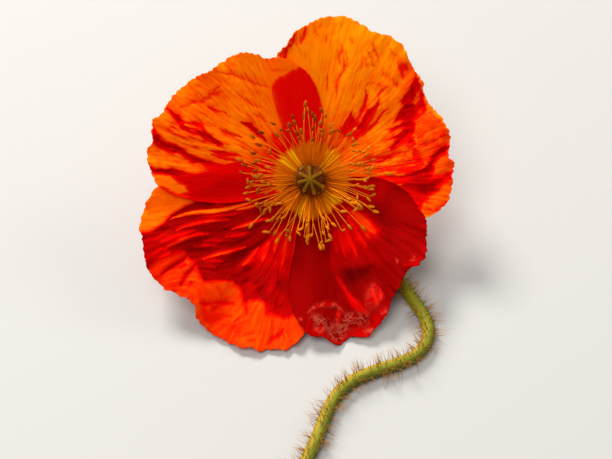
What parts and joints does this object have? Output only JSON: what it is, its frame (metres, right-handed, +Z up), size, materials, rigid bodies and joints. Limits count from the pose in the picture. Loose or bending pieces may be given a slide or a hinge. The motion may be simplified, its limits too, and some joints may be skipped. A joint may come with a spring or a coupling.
{
  "type": "poppy flower",
  "caption": "Wide-open orange Iceland poppy on a cut stem, lying on a flat surface: crinkled petals, ring of stamens, rayed stigma.",
  "frame": {"origin": "middle of the whole flower and stem, seen from above, at the surface it lies on", "axes": "+Z up from the surface; the flower looks up and towards -Y, and the cut end of the stem lies towards -Y; +X is on the right of someone who looks into the flower"},
  "size_m": [0.087, 0.1374, 0.0496],
  "materials": {
    "petal": "thin, silky and crinkled, translucent orange that glows against the light, yellow at the base",
    "stem": "olive green, satin, finely ridged, with spreading ochre bristles",
    "ovary": "green, matt, ribbed and bristly",
    "stigma": "olive yellow, velvety",
    "stamen": "yellow-orange filament and mealy ochre anther"
  },
  "bodies": {
    "root": {"petal_outer_right": "petal", "petal_outer_left": "petal", "petal_inner_left": "petal", "petal_inner_right": "petal", "stem": "stem", "ovary": "ovary", "stigma": "stigma", "stamen_01": "stamen", "stamen_02": "stamen", "stamen_03": "stamen", "stamen_04": "stamen", "stamen_05": "stamen", "stamen_06": "stamen", "stamen_07": "stamen", "stamen_08": "stamen", "stamen_09": "stamen", "stamen_10": "stamen", "stamen_11": "stamen", "stamen_12": "stamen", "stamen_13": "stamen", "stamen_14": "stamen", "stamen_15": "stamen", "stamen_16": "stamen", "stamen_17": "stamen", "stamen_18": "stamen", "stamen_19": "stamen", "stamen_20": "stamen", "stamen_21": "stamen", "stamen_22": "stamen", "stamen_23": "stamen", "stamen_24": "stamen", "stamen_25": "stamen", "stamen_26": "stamen", "stamen_27": "stamen", "stamen_28": "stamen", "stamen_29": "stamen", "stamen_30": "stamen", "stamen_31": "stamen", "stamen_32": "stamen", "stamen_33": "stamen", "stamen_34": "stamen", "stamen_35": "stamen", "stamen_36": "stamen", "stamen_37": "stamen", "stamen_38": "stamen", "stamen_39": "stamen", "stamen_40": "stamen", "stamen_41": "stamen", "stamen_42": "stamen", "stamen_43": "stamen", "stamen_44": "stamen", "stamen_45": "stamen", "stamen_46": "stamen", "stamen_47": "stamen", "stamen_48": "stamen", "stamen_49": "stamen", "stamen_50": "stamen", "stamen_51": "stamen", "stamen_52": "stamen"}
  },
  "joints": []
}
